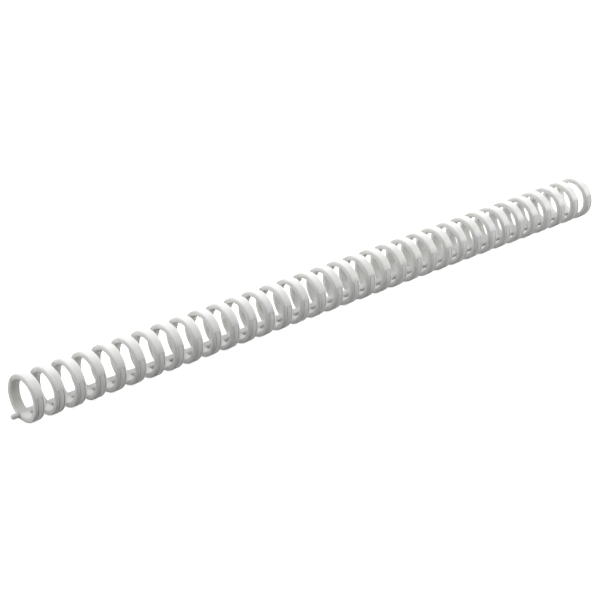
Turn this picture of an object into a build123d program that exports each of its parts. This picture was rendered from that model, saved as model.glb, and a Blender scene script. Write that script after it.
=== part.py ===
"""Ring binding spine: thirty-four closed rings on one long bar, all in white polypropylene.

Frame: +X runs along the spine from the end with the peg, +Y towards the hinge side, +Z up.
The origin is the centre of the bounding box's bottom face, so the rings stand on z = 0.
Angles round a ring are measured in its own plane, from +Y towards +Z.
"""

import os
from math import degrees

from build123d import *

# Driving dimensions, in millimetres and degrees
RING_COUNT = 34
RING_PITCH = 25.4 / 3            # three rings to the inch
RING_RADIUS = 8.8                # outside of a ring
RING_THICKNESS = 2.1             # radial
RING_WIDTH = 4.05                # along the spine
EDGE_ROUND = 0.6                 # rounded edges of a ring's section

BAR_WIDTH = 2.6                  # across the bar, round a ring
BAR_EDGE_ROUND = 0.6
BAR_ANGLE = -70                  # where the bar crosses a ring, low on the hinge side
PEG_RADIUS = 1.0
PEG_LENGTH = 2.8                 # beyond the first ring's face
PEG_TIP_ROUND = 0.65

HINGE_ANGLE = 47                 # film hinge, high on the hinge side
HINGE_GAP = 0.32                 # groove between the two arms at mid-wall
TONGUE_WIDTH = 1.7
TONGUE_TIP_ANGLE = 160           # tip of the latch tongue, on the front of a ring
TONGUE_ROOT_ANGLE = 252          # where the tongue widens to a ring's full width
TONGUE_EDGE_ROUND = 0.25
SIDE_CLEARANCE = 0.2             # fork to tongue, each side
END_CLEARANCE = 0.32             # fork to the tongue's tip and to its root

# Worked out from those
WALL_RADIUS = RING_RADIUS - RING_THICKNESS / 2
INNER_RADIUS = RING_RADIUS - RING_THICKNESS
RINGS_LENGTH = (RING_COUNT - 1) * RING_PITCH + RING_WIDTH
TOTAL_LENGTH = RINGS_LENGTH + PEG_LENGTH
FIRST_FACE = PEG_LENGTH - TOTAL_LENGTH / 2
FIRST_RING = FIRST_FACE + RING_WIDTH / 2
FULL_TURN = 360


def angle_for(length):
    """The angle that a length along the middle of a ring's wall covers."""
    return degrees(length / WALL_RADIUS)


HALF_GAP_ANGLE = angle_for(HINGE_GAP) / 2
FORK_ROOT_ANGLE = TONGUE_TIP_ANGLE - angle_for(END_CLEARANCE)
FORK_TIP_ANGLE = TONGUE_ROOT_ANGLE - angle_for(END_CLEARANCE)
CUTTER_MARGIN = 1


def section(width, inner, outer, edge_round):
    """A rounded rectangle on the plane through the spine's axis and a ring's top."""
    shape = Rectangle(width, outer - inner)
    if edge_round:
        shape = fillet(shape.vertices(), edge_round)
    return Plane.XZ * Pos(0, (inner + outer) / 2) * shape


def arc_band(profile, start_angle, end_angle):
    """The profile turned about the spine's axis from one angle to the other."""
    band = revolve(profile, Axis.X, end_angle - start_angle)
    top_angle = 90
    return Rot(start_angle - top_angle, 0, 0) * band


def on_each_ring(piece):
    """A copy of one ring's piece at every ring."""
    return [placed(piece, number) for number in range(RING_COUNT)]


def placed(piece, number):
    return Pos(FIRST_RING + number * RING_PITCH, 0, RING_RADIUS) * piece


def on_bar_axis(piece):
    """The piece, drawn along +X from the origin, moved to the middle of a ring's wall at the bar."""
    return Rot(BAR_ANGLE, 0, 0) * Pos(0, WALL_RADIUS, 0) * piece


def bar(length):
    """The bar's rounded section, from x = 0 in the +X direction."""
    shape = fillet(Rectangle(RING_THICKNESS, BAR_WIDTH).vertices(), BAR_EDGE_ROUND)
    return extrude(Plane.YZ * shape, length)


def make_spine_bar():
    """The bar that every ring grows from, with the peg that stands out of the first ring."""
    peg = Rot(0, -90, 0) * Cylinder(PEG_RADIUS, PEG_LENGTH, align=(Align.CENTER, Align.CENTER, Align.MIN))
    peg = fillet(peg.edges().sort_by(Axis.X)[0], PEG_TIP_ROUND)
    return Pos(FIRST_FACE, 0, RING_RADIUS) * on_bar_axis(bar(RINGS_LENGTH) + peg)


def bar_cutter():
    length = RING_WIDTH + 2 * CUTTER_MARGIN
    return on_bar_axis(Pos(-length / 2, 0, 0) * bar(length))


def make_back_arm():
    """The fixed arm of one ring, from the bar up to the film hinge."""
    profile = section(RING_WIDTH, INNER_RADIUS, RING_RADIUS, EDGE_ROUND)
    arm = arc_band(profile, BAR_ANGLE, HINGE_ANGLE - HALF_GAP_ANGLE)
    return arm - bar_cutter()


def make_latch_arm():
    """The fixed arm of one ring, from the bar round the bottom, then a tongue up the front."""
    wide_profile = section(RING_WIDTH, INNER_RADIUS, RING_RADIUS, EDGE_ROUND)
    tongue_profile = section(TONGUE_WIDTH, INNER_RADIUS, RING_RADIUS, TONGUE_EDGE_ROUND)
    root = arc_band(wide_profile, TONGUE_ROOT_ANGLE, BAR_ANGLE + FULL_TURN)
    tongue = arc_band(tongue_profile, TONGUE_TIP_ANGLE, TONGUE_ROOT_ANGLE)
    return root + tongue - bar_cutter()


def make_closing_arm():
    """The moving arm of one ring: over the top, then a fork that straddles the latch tongue."""
    profile = section(RING_WIDTH, INNER_RADIUS, RING_RADIUS, EDGE_ROUND)
    arm = arc_band(profile, HINGE_ANGLE + HALF_GAP_ANGLE, FORK_TIP_ANGLE)
    slot_width = TONGUE_WIDTH + 2 * SIDE_CLEARANCE
    slot_profile = section(slot_width, INNER_RADIUS - CUTTER_MARGIN, RING_RADIUS + CUTTER_MARGIN, 0)
    slot = arc_band(slot_profile, FORK_ROOT_ANGLE, FORK_TIP_ANGLE + angle_for(CUTTER_MARGIN))
    return arm - slot


def save(shape, name):
    export_step(shape, f"parts/{name}.step")


os.makedirs("parts", exist_ok=True)
save(make_spine_bar(), "spine_bar")
save(Compound(on_each_ring(make_back_arm())), "back_arms")
save(Compound(on_each_ring(make_latch_arm())), "latch_arms")
closing_arm = make_closing_arm()
for number in range(RING_COUNT):
    save(placed(closing_arm, number), f"closing_arm_{number + 1:02d}")
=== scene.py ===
import math

import bmesh
import bpy
import numpy as np
from mathutils import Matrix, Vector


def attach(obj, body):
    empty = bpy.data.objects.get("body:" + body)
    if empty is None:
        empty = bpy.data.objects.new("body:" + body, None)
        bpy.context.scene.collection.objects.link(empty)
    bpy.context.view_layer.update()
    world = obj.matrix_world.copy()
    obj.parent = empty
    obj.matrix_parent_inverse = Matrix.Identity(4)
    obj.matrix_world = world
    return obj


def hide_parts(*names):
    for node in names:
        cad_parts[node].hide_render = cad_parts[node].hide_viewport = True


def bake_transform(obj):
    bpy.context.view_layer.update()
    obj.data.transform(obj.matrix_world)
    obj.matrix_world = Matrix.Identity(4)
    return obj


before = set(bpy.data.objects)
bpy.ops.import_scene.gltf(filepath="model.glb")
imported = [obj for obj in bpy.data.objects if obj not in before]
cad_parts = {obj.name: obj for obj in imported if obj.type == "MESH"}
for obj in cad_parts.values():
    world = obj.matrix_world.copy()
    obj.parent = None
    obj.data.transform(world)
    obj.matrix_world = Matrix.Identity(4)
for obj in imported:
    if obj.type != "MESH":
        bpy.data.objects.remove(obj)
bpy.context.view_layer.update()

# Driving dimensions, in millimetres and degrees; angles round a ring run from +Y towards +Z
MM = 0.001
RING_COUNT = 34
RING_PITCH = 25.4 / 3
RING_RADIUS = 8.8
RING_THICKNESS = 2.1
RING_WIDTH = 4.05
EDGE_ROUND = 0.62
BAR_WIDTH = 2.6
BAR_EDGE_ROUND = 0.6
BAR_ANGLE = -70
PEG_RADIUS = 1.0
PEG_LENGTH = 2.8
HINGE_ANGLE = 47
HINGE_GAP = 0.32
TONGUE_WIDTH = 1.7
TONGUE_TIP_ANGLE = 160
TONGUE_ROOT_ANGLE = 252
SIDE_CLEARANCE = 0.3
END_CLEARANCE = 0.06

WALL_RADIUS = RING_RADIUS - RING_THICKNESS / 2
INNER_RADIUS = RING_RADIUS - RING_THICKNESS
RINGS_LENGTH = (RING_COUNT - 1) * RING_PITCH + RING_WIDTH
FIRST_FACE = PEG_LENGTH - (RINGS_LENGTH + PEG_LENGTH) / 2
FIRST_RING = FIRST_FACE + RING_WIDTH / 2
FULL_TURN = 360
BAR_TURN = math.radians(BAR_ANGLE)
BAR_CENTRE = Vector((0, WALL_RADIUS * math.cos(BAR_TURN), WALL_RADIUS * math.sin(BAR_TURN)))


def angle_for(length):
    """The angle that a length along the middle of a ring's wall covers."""
    return math.degrees(length / WALL_RADIUS)


HALF_GAP_ANGLE = angle_for(HINGE_GAP) / 2
FORK_ROOT_ANGLE = TONGUE_TIP_ANGLE - angle_for(END_CLEARANCE)
FORK_TIP_ANGLE = TONGUE_ROOT_ANGLE - angle_for(END_CLEARANCE)

# ---------------------------------------------------------------- materials


def node(tree, kind, **inputs):
    made = tree.nodes.new(kind)
    for name, value in inputs.items():
        made.inputs[name.replace("_", " ")].default_value = value
    return made


def plastic(name, shade, subsurface, roughness):
    """White polypropylene: faint cloudiness, moulding grain, fine rub marks."""
    material = bpy.data.materials.new(name)
    material.use_nodes = True
    tree = material.node_tree
    link = tree.links.new
    shader = tree.nodes["Principled BSDF"]
    place = tree.nodes.new("ShaderNodeTexCoord")

    cloud = node(tree, "ShaderNodeTexNoise", Scale=170.0, Detail=4.0, Roughness=0.6)
    grain = node(tree, "ShaderNodeTexNoise", Scale=3400.0, Detail=3.0, Roughness=0.65)
    link(place.outputs["Object"], cloud.inputs["Vector"])
    link(place.outputs["Object"], grain.inputs["Vector"])

    stretch = tree.nodes.new("ShaderNodeMapping")
    stretch.inputs["Scale"].default_value = (260.0, 2600.0, 2600.0)
    link(place.outputs["Object"], stretch.inputs["Vector"])
    rub = node(tree, "ShaderNodeTexNoise", Scale=1.0, Detail=2.0, Roughness=0.5)
    link(stretch.outputs["Vector"], rub.inputs["Vector"])

    tint = tree.nodes.new("ShaderNodeValToRGB")
    dark = [c * 0.94 for c in shade]
    tint.color_ramp.elements[0].position = 0.36
    tint.color_ramp.elements[0].color = (*dark, 1)
    tint.color_ramp.elements[1].position = 0.62
    tint.color_ramp.elements[1].color = (*shade, 1)
    link(cloud.outputs["Fac"], tint.inputs["Fac"])
    link(tint.outputs["Color"], shader.inputs["Base Color"])

    gloss = tree.nodes.new("ShaderNodeMapRange")
    gloss.inputs["From Min"].default_value = 0.3
    gloss.inputs["From Max"].default_value = 0.7
    gloss.inputs["To Min"].default_value = roughness - 0.08
    gloss.inputs["To Max"].default_value = roughness + 0.1
    link(rub.outputs["Fac"], gloss.inputs["Value"])
    link(gloss.outputs["Result"], shader.inputs["Roughness"])

    bump = tree.nodes.new("ShaderNodeBump")
    bump.inputs["Strength"].default_value = 0.12
    bump.inputs["Distance"].default_value = 0.00003
    link(grain.outputs["Fac"], bump.inputs["Height"])
    wave = tree.nodes.new("ShaderNodeBump")
    wave.inputs["Strength"].default_value = 0.25
    wave.inputs["Distance"].default_value = 0.00006
    link(cloud.outputs["Fac"], wave.inputs["Height"])
    link(bump.outputs["Normal"], wave.inputs["Normal"])
    link(wave.outputs["Normal"], shader.inputs["Normal"])

    shader.inputs["Subsurface Weight"].default_value = subsurface
    shader.inputs["Subsurface Radius"].default_value = (1.0, 0.95, 0.85)
    shader.inputs["Subsurface Scale"].default_value = 0.0015
    shader.inputs["IOR"].default_value = 1.49
    return material


ARM_PLASTIC = plastic("polypropylene_arm", (0.87, 0.87, 0.86), 0.5, 0.4)
BASE_PLASTIC = plastic("polypropylene_base", (0.86, 0.86, 0.84), 0.5, 0.42)
BAR_PLASTIC = plastic("polypropylene_bar", (0.87, 0.87, 0.86), 0.5, 0.38)
WEB_PLASTIC = plastic("polypropylene_web", (0.88, 0.88, 0.87), 0.6, 0.45)

# ---------------------------------------------------------------- ring bands


def chain(width, edge_round, marks):
    """Positions across a ring, and how far the rounded edge drops there."""
    half = width / 2
    turns = [math.radians(a) for a in (0, 18, 36, 54, 72, 90)]
    left = [(-half + edge_round * (1 - math.cos(t)), edge_round * (1 - math.sin(t))) for t in turns]
    flat = sorted(set([*marks, *(-m for m in marks), 0.0]))
    middle = [(x, 0.0) for x in flat if abs(x) < half - edge_round - 1e-6]
    right = [(-x, drop) for x, drop in reversed(left)]
    return left + middle + right


def band(profile, angles, present, shift=None, ridge=None):
    """A curved shell of cells: across the ring by profile, round it by angles.

    present(x, angle) says which cells are solid. shift(x, angle) moves the inner side round the ring.
    ridge(x, angle) raises the inner side towards the middle.
    """
    mesh = bmesh.new()
    count = len(profile)
    steps = len(angles)
    corners = {}

    def corner(side, i, j):
        key = (side, i, j)
        if key not in corners:
            x, drop = profile[i]
            angle = angles[j]
            if side:
                radius = RING_RADIUS - drop
                turned = angle
            else:
                radius = INNER_RADIUS + drop
                if ridge:
                    radius -= ridge(x, angle)
                turned = angle + (shift(x, angle) if shift else 0)
            a = math.radians(turned)
            corners[key] = mesh.verts.new((x * MM, radius * math.cos(a) * MM, radius * math.sin(a) * MM))
        return corners[key]

    def solid(i, j):
        if not (0 <= i < count - 1 and 0 <= j < steps - 1):
            return False
        x = (profile[i][0] + profile[i + 1][0]) / 2
        return present(x, (angles[j] + angles[j + 1]) / 2)

    for i in range(count - 1):
        for j in range(steps - 1):
            if not solid(i, j):
                continue
            quads = [
                [(1, i, j), (1, i + 1, j), (1, i + 1, j + 1), (1, i, j + 1)],
                [(0, i, j), (0, i, j + 1), (0, i + 1, j + 1), (0, i + 1, j)],
            ]
            if not solid(i - 1, j):
                quads.append([(1, i, j), (1, i, j + 1), (0, i, j + 1), (0, i, j)])
            if not solid(i + 1, j):
                quads.append([(1, i + 1, j), (0, i + 1, j), (0, i + 1, j + 1), (1, i + 1, j + 1)])
            if not solid(i, j - 1):
                quads.append([(1, i, j), (0, i, j), (0, i + 1, j), (1, i + 1, j)])
            if not solid(i, j + 1):
                quads.append([(1, i, j + 1), (1, i + 1, j + 1), (0, i + 1, j + 1), (0, i, j + 1)])
            for quad in quads:
                mesh.faces.new([corner(*c) for c in quad])
    bmesh.ops.recalc_face_normals(mesh, faces=mesh.faces)
    return mesh


def spread(*marks, step=2.0):
    """Angles from the first mark to the last, passing through every mark."""
    angles = []
    for a, b in zip(marks, marks[1:]):
        count = max(1, round((b - a) / step))
        angles += [a + (b - a) * k / count for k in range(count)]
    return angles + [marks[-1]]


def finished(mesh, name, bevel):
    """Rounds the cut edges and returns the mesh's data."""
    data = bpy.data.meshes.new(name)
    mesh.to_mesh(data)
    mesh.free()
    holder = bpy.data.objects.new(name, data)
    bpy.context.scene.collection.objects.link(holder)
    modifier = holder.modifiers.new("bevel", "BEVEL")
    modifier.width = bevel * MM
    modifier.segments = 3
    modifier.limit_method = "ANGLE"
    modifier.angle_limit = math.radians(48)
    modifier.use_clamp_overlap = True
    graph = bpy.context.evaluated_depsgraph_get()
    made = bpy.data.meshes.new_from_object(holder.evaluated_get(graph))
    bpy.data.objects.remove(holder)
    bpy.data.meshes.remove(data)
    made.name = name
    return made


# The pointed crease at the hinge, in degrees round the ring
GABLE_RISE = 5.0
GABLE_DROP = 15.0
GABLE_REACH = 22.0
RIDGE_HEIGHT = 0.42
RIDGE_START = -32
RIDGE_RUN_IN = 8
BASE_BEVEL = 0.1
LATCH_BEVEL = 0.14


def gable(x, angle):
    """How far an arm's inner end is turned at the hinge: most at mid-width, falling to both sides."""
    across = abs(x) / (RING_WIDTH / 2)
    rise = GABLE_RISE - (GABLE_RISE + GABLE_DROP) * across
    near = max(0.0, 1 - abs(angle - HINGE_ANGLE) / GABLE_REACH)
    return rise * near


def roof(x, angle):
    """The stiffening ridge inside the back arm."""
    across = 1 - abs(x) / (RING_WIDTH / 2)
    low = min(1.0, max(0.0, (angle - RIDGE_START) / RIDGE_RUN_IN))
    return RIDGE_HEIGHT * across * low


def base_ring():
    back = band(
        chain(RING_WIDTH, EDGE_ROUND, [0.35, 0.7, 1.05]),
        spread(BAR_ANGLE, HINGE_ANGLE - HALF_GAP_ANGLE),
        lambda x, a: True,
        shift=gable,
        ridge=roof,
    )
    return finished(back, "back_arm", BASE_BEVEL)


def latch_ring():
    half = TONGUE_WIDTH / 2
    latch = band(
        chain(RING_WIDTH, EDGE_ROUND, [0.4, half, 1.1]),
        spread(TONGUE_TIP_ANGLE, TONGUE_ROOT_ANGLE, BAR_ANGLE + FULL_TURN),
        lambda x, a: a > TONGUE_ROOT_ANGLE or abs(x) < half,
    )
    return finished(latch, "latch_arm", LATCH_BEVEL)


def closing_ring():
    half = TONGUE_WIDTH / 2 + SIDE_CLEARANCE
    arm = band(
        chain(RING_WIDTH, EDGE_ROUND, [0.45, half]),
        spread(HINGE_ANGLE + HALF_GAP_ANGLE, FORK_ROOT_ANGLE, FORK_TIP_ANGLE),
        lambda x, a: a < FORK_ROOT_ANGLE or abs(x) > half,
        shift=gable,
    )
    return finished(arm, "closing_arm", LATCH_BEVEL)


# The film hinge's web, in millimetres across and degrees round the ring
WEB_INSET = 0.45
WEB_DEPTH = 0.05
WEB_THICKNESS = 0.4
WEB_REACH = 5
HINGE_BEND = 2


def skin(mesh, rows):
    """A closed skin over rows of vertices, each row a loop, with a flat cap at each end."""
    for first, second in zip(rows, rows[1:]):
        count = len(first)
        for k in range(count):
            following = (k + 1) % count
            mesh.faces.new([first[k], first[following], second[following], second[k]])
    mesh.faces.new(rows[0])
    mesh.faces.new(rows[-1])


def web_strip():
    """The film hinge: a thin strip just inside the outer surface, across the groove."""
    mesh = bmesh.new()
    half = RING_WIDTH / 2 - WEB_INSET
    hinge = HINGE_ANGLE
    angles = spread(hinge - WEB_REACH, hinge - HINGE_BEND, hinge + HINGE_BEND, hinge + WEB_REACH, step=0.5)
    rows = []
    for angle in angles:
        a = math.radians(angle)
        thin = 0.5 + 0.5 * min(1.0, abs(angle - HINGE_ANGLE) / HINGE_BEND)
        outer = RING_RADIUS - WEB_DEPTH
        inner = RING_RADIUS - WEB_DEPTH - WEB_THICKNESS * thin
        row = []
        for x, radius in ((-half, outer), (half, outer), (half, inner), (-half, inner)):
            row.append(mesh.verts.new((x * MM, radius * math.cos(a) * MM, radius * math.sin(a) * MM)))
        rows.append(row)
    skin(mesh, rows)
    bmesh.ops.recalc_face_normals(mesh, faces=mesh.faces)
    data = bpy.data.meshes.new("film_hinge")
    mesh.to_mesh(data)
    mesh.free()
    return data


def ring_place(number):
    return Matrix.Translation(((FIRST_RING + number * RING_PITCH) * MM, 0, RING_RADIUS * MM))


def smooth(data, angle=35):
    data.shade_smooth()
    data.set_sharp_from_angle(angle=math.radians(angle))


def shown(name, data, material):
    data.materials.clear()
    data.materials.append(material)
    smooth(data)
    made = bpy.data.objects.new(name, data)
    bpy.context.scene.collection.objects.link(made)
    return made


def row_of(master):
    """One mesh with the master at every ring."""
    whole = bmesh.new()
    for number in range(RING_COUNT):
        copy = master.copy()
        copy.transform(ring_place(number))
        whole.from_mesh(copy)
        bpy.data.meshes.remove(copy)
    data = bpy.data.meshes.new(master.name + "_row")
    whole.to_mesh(data)
    whole.free()
    return data


# ---------------------------------------------------------------- bar


PARTING_HALF_WIDTH = 0.07
PARTING_HEIGHT = 0.05
BAR_STATIONS = 236               # rows of vertices along the straight bar
PEG_SIDES = 32
PEG_TIP_ROUND = 0.65


def bar_outline():
    """The bar's section (outwards, round the ring), with a fine parting line on each side."""
    half_out = RING_THICKNESS / 2
    half_wide = BAR_WIDTH / 2
    turn = BAR_EDGE_ROUND
    points = []
    for start, out, wide in ((0, 1, 1), (90, -1, 1), (180, -1, -1), (270, 1, -1)):
        for step in range(7):
            t = math.radians(start + step * 15)
            u = out * (half_out - turn) + turn * math.cos(t)
            v = wide * (half_wide - turn) + turn * math.sin(t)
            points.append((u, v))
        if start in (0, 180):
            points.append((PARTING_HALF_WIDTH * out, wide * half_wide))
            points.append((0.0, wide * (half_wide + PARTING_HEIGHT)))
            points.append((-PARTING_HALF_WIDTH * out, wide * half_wide))
    return points


def peg_stations():
    """(position, radius) along the peg, from its rounded tip to its slightly wider foot."""
    tip = PEG_TIP_ROUND
    stations = []
    for t in np.linspace(0.12, math.pi / 2, 8):
        stations.append((-PEG_LENGTH + tip * (1 - math.cos(t)), PEG_RADIUS - tip + tip * math.sin(t)))
    stations += [(-0.4, PEG_RADIUS), (-0.2, PEG_RADIUS + 0.01)]
    stations += [(-0.06, PEG_RADIUS + 0.03), (0.1, PEG_RADIUS + 0.05)]
    return stations


def bar_mesh():
    """The bar, its rounded ends and the peg."""
    mesh = bmesh.new()
    outline = bar_outline()
    outwards = Vector((0, math.cos(BAR_TURN), math.sin(BAR_TURN)))
    across = Vector((0, -math.sin(BAR_TURN), math.cos(BAR_TURN)))

    def ring(x, points):
        return [mesh.verts.new((Vector((x, 0, 0)) + outwards * u + across * v) * MM) for u, v in points]

    def shrunk(scale):
        return [(u * scale, v * scale) for u, v in outline]

    stations = [(0.0, 0.86), (0.05, 0.94), (0.15, 0.99)]
    stations += [(x, 1.0) for x in np.linspace(0.3, RINGS_LENGTH - 0.3, BAR_STATIONS)]
    stations += [(RINGS_LENGTH - 0.15, 0.99), (RINGS_LENGTH - 0.05, 0.94), (RINGS_LENGTH, 0.86)]
    rows = [ring(x, shrunk(scale)) for x, scale in stations]
    skin(mesh, rows)

    rows = []
    for x, radius in peg_stations():
        turns = [2 * math.pi * k / PEG_SIDES for k in range(PEG_SIDES)]
        rows.append(ring(x, [(radius * math.cos(t), radius * math.sin(t)) for t in turns]))
    skin(mesh, rows)
    bmesh.ops.recalc_face_normals(mesh, faces=mesh.faces)
    data = bpy.data.meshes.new("bar")
    mesh.to_mesh(data)
    mesh.free()
    data.transform(Matrix.Translation((Vector((FIRST_FACE, 0, RING_RADIUS)) + BAR_CENTRE) * MM))
    return data


bar = shown("spine_bar_look", bar_mesh(), BAR_PLASTIC)
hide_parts("spine_bar")
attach(bar, "spine")

back = shown("back_arms_look", row_of(base_ring()), BASE_PLASTIC)
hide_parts("back_arms")
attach(back, "spine")

latch = shown("latch_arms_look", row_of(latch_ring()), BASE_PLASTIC)
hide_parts("latch_arms")
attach(latch, "spine")

closing_master = closing_ring()
web_master = web_strip()


for number in range(RING_COUNT):
    label = f"{number + 1:02d}"
    body = "arm_" + label
    data = closing_master.copy()
    data.transform(ring_place(number))
    arm = shown("closing_arm_look_" + label, data, ARM_PLASTIC)
    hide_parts("closing_arm_" + label)
    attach(arm, body)
    data = web_master.copy()
    data.transform(ring_place(number))
    web = shown("film_hinge_" + label, data, WEB_PLASTIC)
    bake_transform(web)

# ---------------------------------------------------------------- stage, light, camera

floor_data = bpy.data.meshes.new("floor")
FLOOR_REACH = 6.0
floor_corners = [(x * FLOOR_REACH, y * FLOOR_REACH, 0) for x, y in ((-1, -1), (1, -1), (1, 1), (-1, 1))]
floor_data.from_pydata(floor_corners, [], [(0, 1, 2, 3)])
floor = bpy.data.objects.new("floor", floor_data)
bpy.context.scene.collection.objects.link(floor)
floor_paint = bpy.data.materials.new("floor_paint")
floor_paint.use_nodes = True
floor_shader = floor_paint.node_tree.nodes["Principled BSDF"]
floor_shader.inputs["Base Color"].default_value = (0.9, 0.9, 0.9, 1)
floor_shader.inputs["Roughness"].default_value = 0.9
floor_shader.inputs["Emission Color"].default_value = (1, 1, 1, 1)
floor_shader.inputs["Emission Strength"].default_value = 0.75
floor_data.materials.append(floor_paint)
floor.visible_diffuse = False


def studio_world(overhead, sideways, below, front, back):
    """Soft white light from above and behind that falls away towards the ground and the front."""
    world = bpy.data.worlds.new("studio")
    bpy.context.scene.world = world
    world.use_nodes = True
    tree = world.node_tree
    link = tree.links.new
    background = tree.nodes["Background"]
    place = tree.nodes.new("ShaderNodeTexCoord")
    split = tree.nodes.new("ShaderNodeSeparateXYZ")
    link(place.outputs["Generated"], split.inputs["Vector"])
    ramp = tree.nodes.new("ShaderNodeValToRGB")
    height = tree.nodes.new("ShaderNodeMapRange")
    height.inputs["From Min"].default_value = -1.0
    height.inputs["From Max"].default_value = 1.0
    link(split.outputs["Z"], height.inputs["Value"])
    link(height.outputs["Result"], ramp.inputs["Fac"])
    ramp.color_ramp.elements[0].position = 0.35
    ramp.color_ramp.elements[0].color = (below, below, below * 0.94, 1)
    ramp.color_ramp.elements[1].position = 0.95
    ramp.color_ramp.elements[1].color = (overhead, overhead, overhead, 1)
    middle = ramp.color_ramp.elements.new(0.55)
    middle.color = (sideways, sideways, sideways * 0.97, 1)
    link(ramp.outputs["Color"], background.inputs["Color"])
    depth = tree.nodes.new("ShaderNodeMapRange")
    depth.inputs["From Min"].default_value = -0.9
    depth.inputs["From Max"].default_value = 0.7
    depth.inputs["To Min"].default_value = front
    depth.inputs["To Max"].default_value = back
    link(split.outputs["Y"], depth.inputs["Value"])
    link(depth.outputs["Result"], background.inputs["Strength"])


studio_world(overhead=1.05, sideways=0.82, below=0.0, front=0.24, back=1.4)


def area_light(name, place, aim, size, power):
    data = bpy.data.lights.new(name, "AREA")
    data.shape = "DISK"
    data.size = size
    data.energy = power
    lamp = bpy.data.objects.new(name, data)
    bpy.context.scene.collection.objects.link(lamp)
    lamp.location = place
    lamp.rotation_mode = "QUATERNION"
    lamp.rotation_quaternion = (Vector(aim) - Vector(place)).to_track_quat("-Z", "Y")


area_light("top_light", (0.3, 0.4, 0.8), (0.05, 0, 0), 0.7, 1.9)
area_light("far_light", (0.75, -0.45, 0.3), (0.1, 0, 0), 0.4, 3.6)

AIM_FROM_FIRST_RING = 122.96
AIM_BELOW_AXIS = 1.2
AZIMUTH = -41.63
ELEVATION = 25.18
ROLL = 0.6
DISTANCE = 0.6897
SPINE_AIM = Vector((FIRST_RING + AIM_FROM_FIRST_RING, 0, RING_RADIUS - AIM_BELOW_AXIS)) * MM
camera_data = bpy.data.cameras.new("camera")
camera_data.lens = 109.5
camera_data.sensor_width = 36
camera_data.clip_start = 0.01
camera_data.clip_end = 50
camera = bpy.data.objects.new("camera", camera_data)
bpy.context.scene.collection.objects.link(camera)
a = math.radians(AZIMUTH)
e = math.radians(ELEVATION)
back_way = Vector((math.sin(a) * math.cos(e), -math.cos(a) * math.cos(e), math.sin(e)))
camera.location = SPINE_AIM + back_way * DISTANCE
camera.rotation_mode = "QUATERNION"
roll = Matrix.Rotation(math.radians(ROLL), 4, "Z").to_quaternion()
camera.rotation_quaternion = (-back_way).to_track_quat("-Z", "Y") @ roll
bpy.context.scene.camera = camera
bpy.context.scene.view_settings.view_transform = "Standard"
